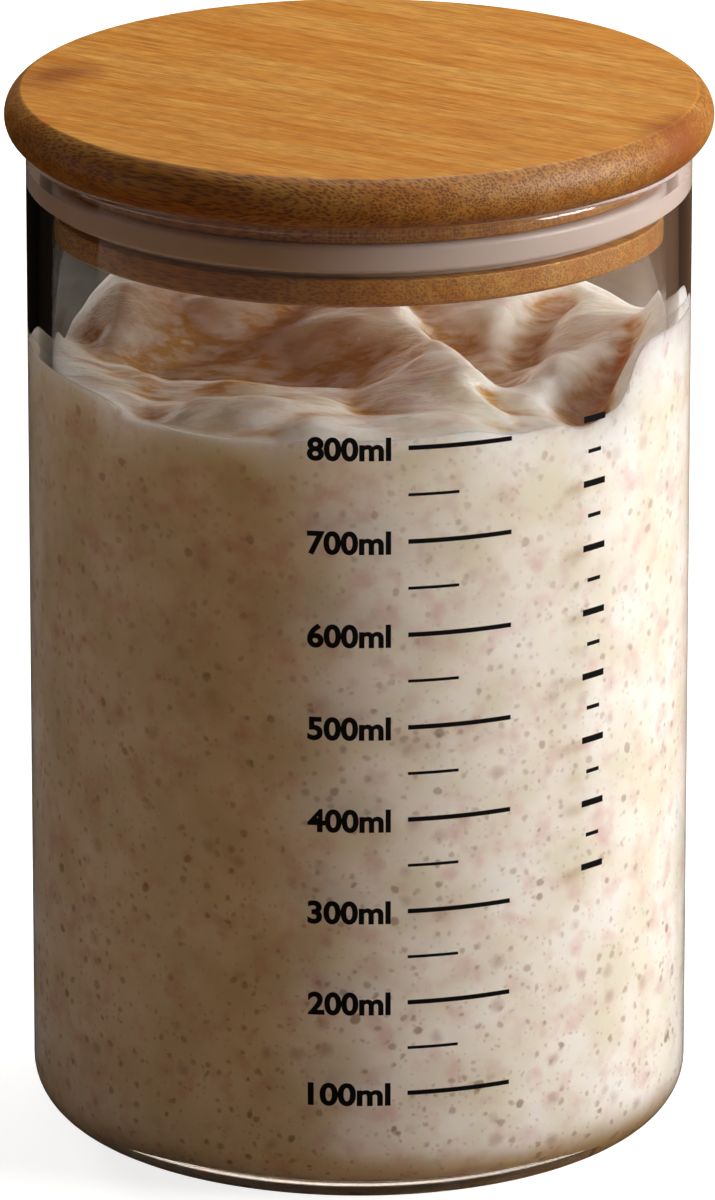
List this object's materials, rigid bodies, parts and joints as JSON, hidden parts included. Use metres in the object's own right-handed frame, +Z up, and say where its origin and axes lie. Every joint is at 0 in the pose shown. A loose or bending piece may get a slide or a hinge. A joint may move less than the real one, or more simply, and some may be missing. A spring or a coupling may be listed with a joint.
{
  "type": "sourdough starter jar",
  "caption": "Straight-sided round glass jar with a printed volume scale, a push-in bamboo lid with a silicone seal ring, and sourdough starter inside.",
  "frame": {"origin": "centre of the circle that the jar stands on, on its axis", "axes": "+Z up the jar's axis, -Y towards the side that carries the printed volume scale, +X to the right of a viewer who faces the scale"},
  "size_m": [0.1064, 0.1064, 0.1608],
  "materials": {
    "clear_glass": "gloss",
    "starter_dough": "satin",
    "black_ink": "satin",
    "bamboo": "satin",
    "silicone": "satin"
  },
  "bodies": {
    "jar": {"glass_jar": "clear_glass", "starter": "starter_dough", "volume_scale": "black_ink"},
    "seal": {"seal_ring": "silicone"},
    "lid": {"lid_top": "bamboo", "lid_plug": "bamboo"}
  },
  "joints": [
    {"name": "lid_lift", "type": "slide", "parent": "jar", "child": "seal", "axis": [0, 0, 1], "range_m": [0, 0.06]},
    {"name": "lid_turn", "type": "hinge", "parent": "seal", "child": "lid", "pos_m": [0, 0, 0.147], "axis": [0, 0, 1], "continuous": true}
  ]
}
